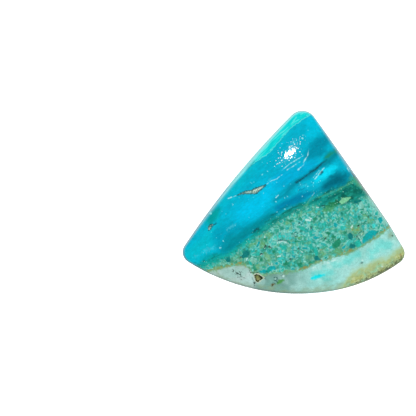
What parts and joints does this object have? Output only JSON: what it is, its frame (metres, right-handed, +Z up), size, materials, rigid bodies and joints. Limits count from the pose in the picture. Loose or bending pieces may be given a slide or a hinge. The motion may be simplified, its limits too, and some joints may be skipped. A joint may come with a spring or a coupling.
{
  "type": "opal cabochon",
  "caption": "Fan-shaped opal cabochon: a flat bevelled back, a slightly tapered girdle and a low polished dome, cut from banded blue-green common opal.",
  "frame": {"origin": "on the flat back, at the middle of the stone's bounding box seen from above", "axes": "+X across the fan, +Y towards its rounded point, +Z up through the dome"},
  "size_m": [0.0244, 0.0202, 0.005],
  "materials": {
    "opal": "polished"
  },
  "bodies": {
    "root": {"fan_cabochon": "opal"}
  },
  "joints": []
}
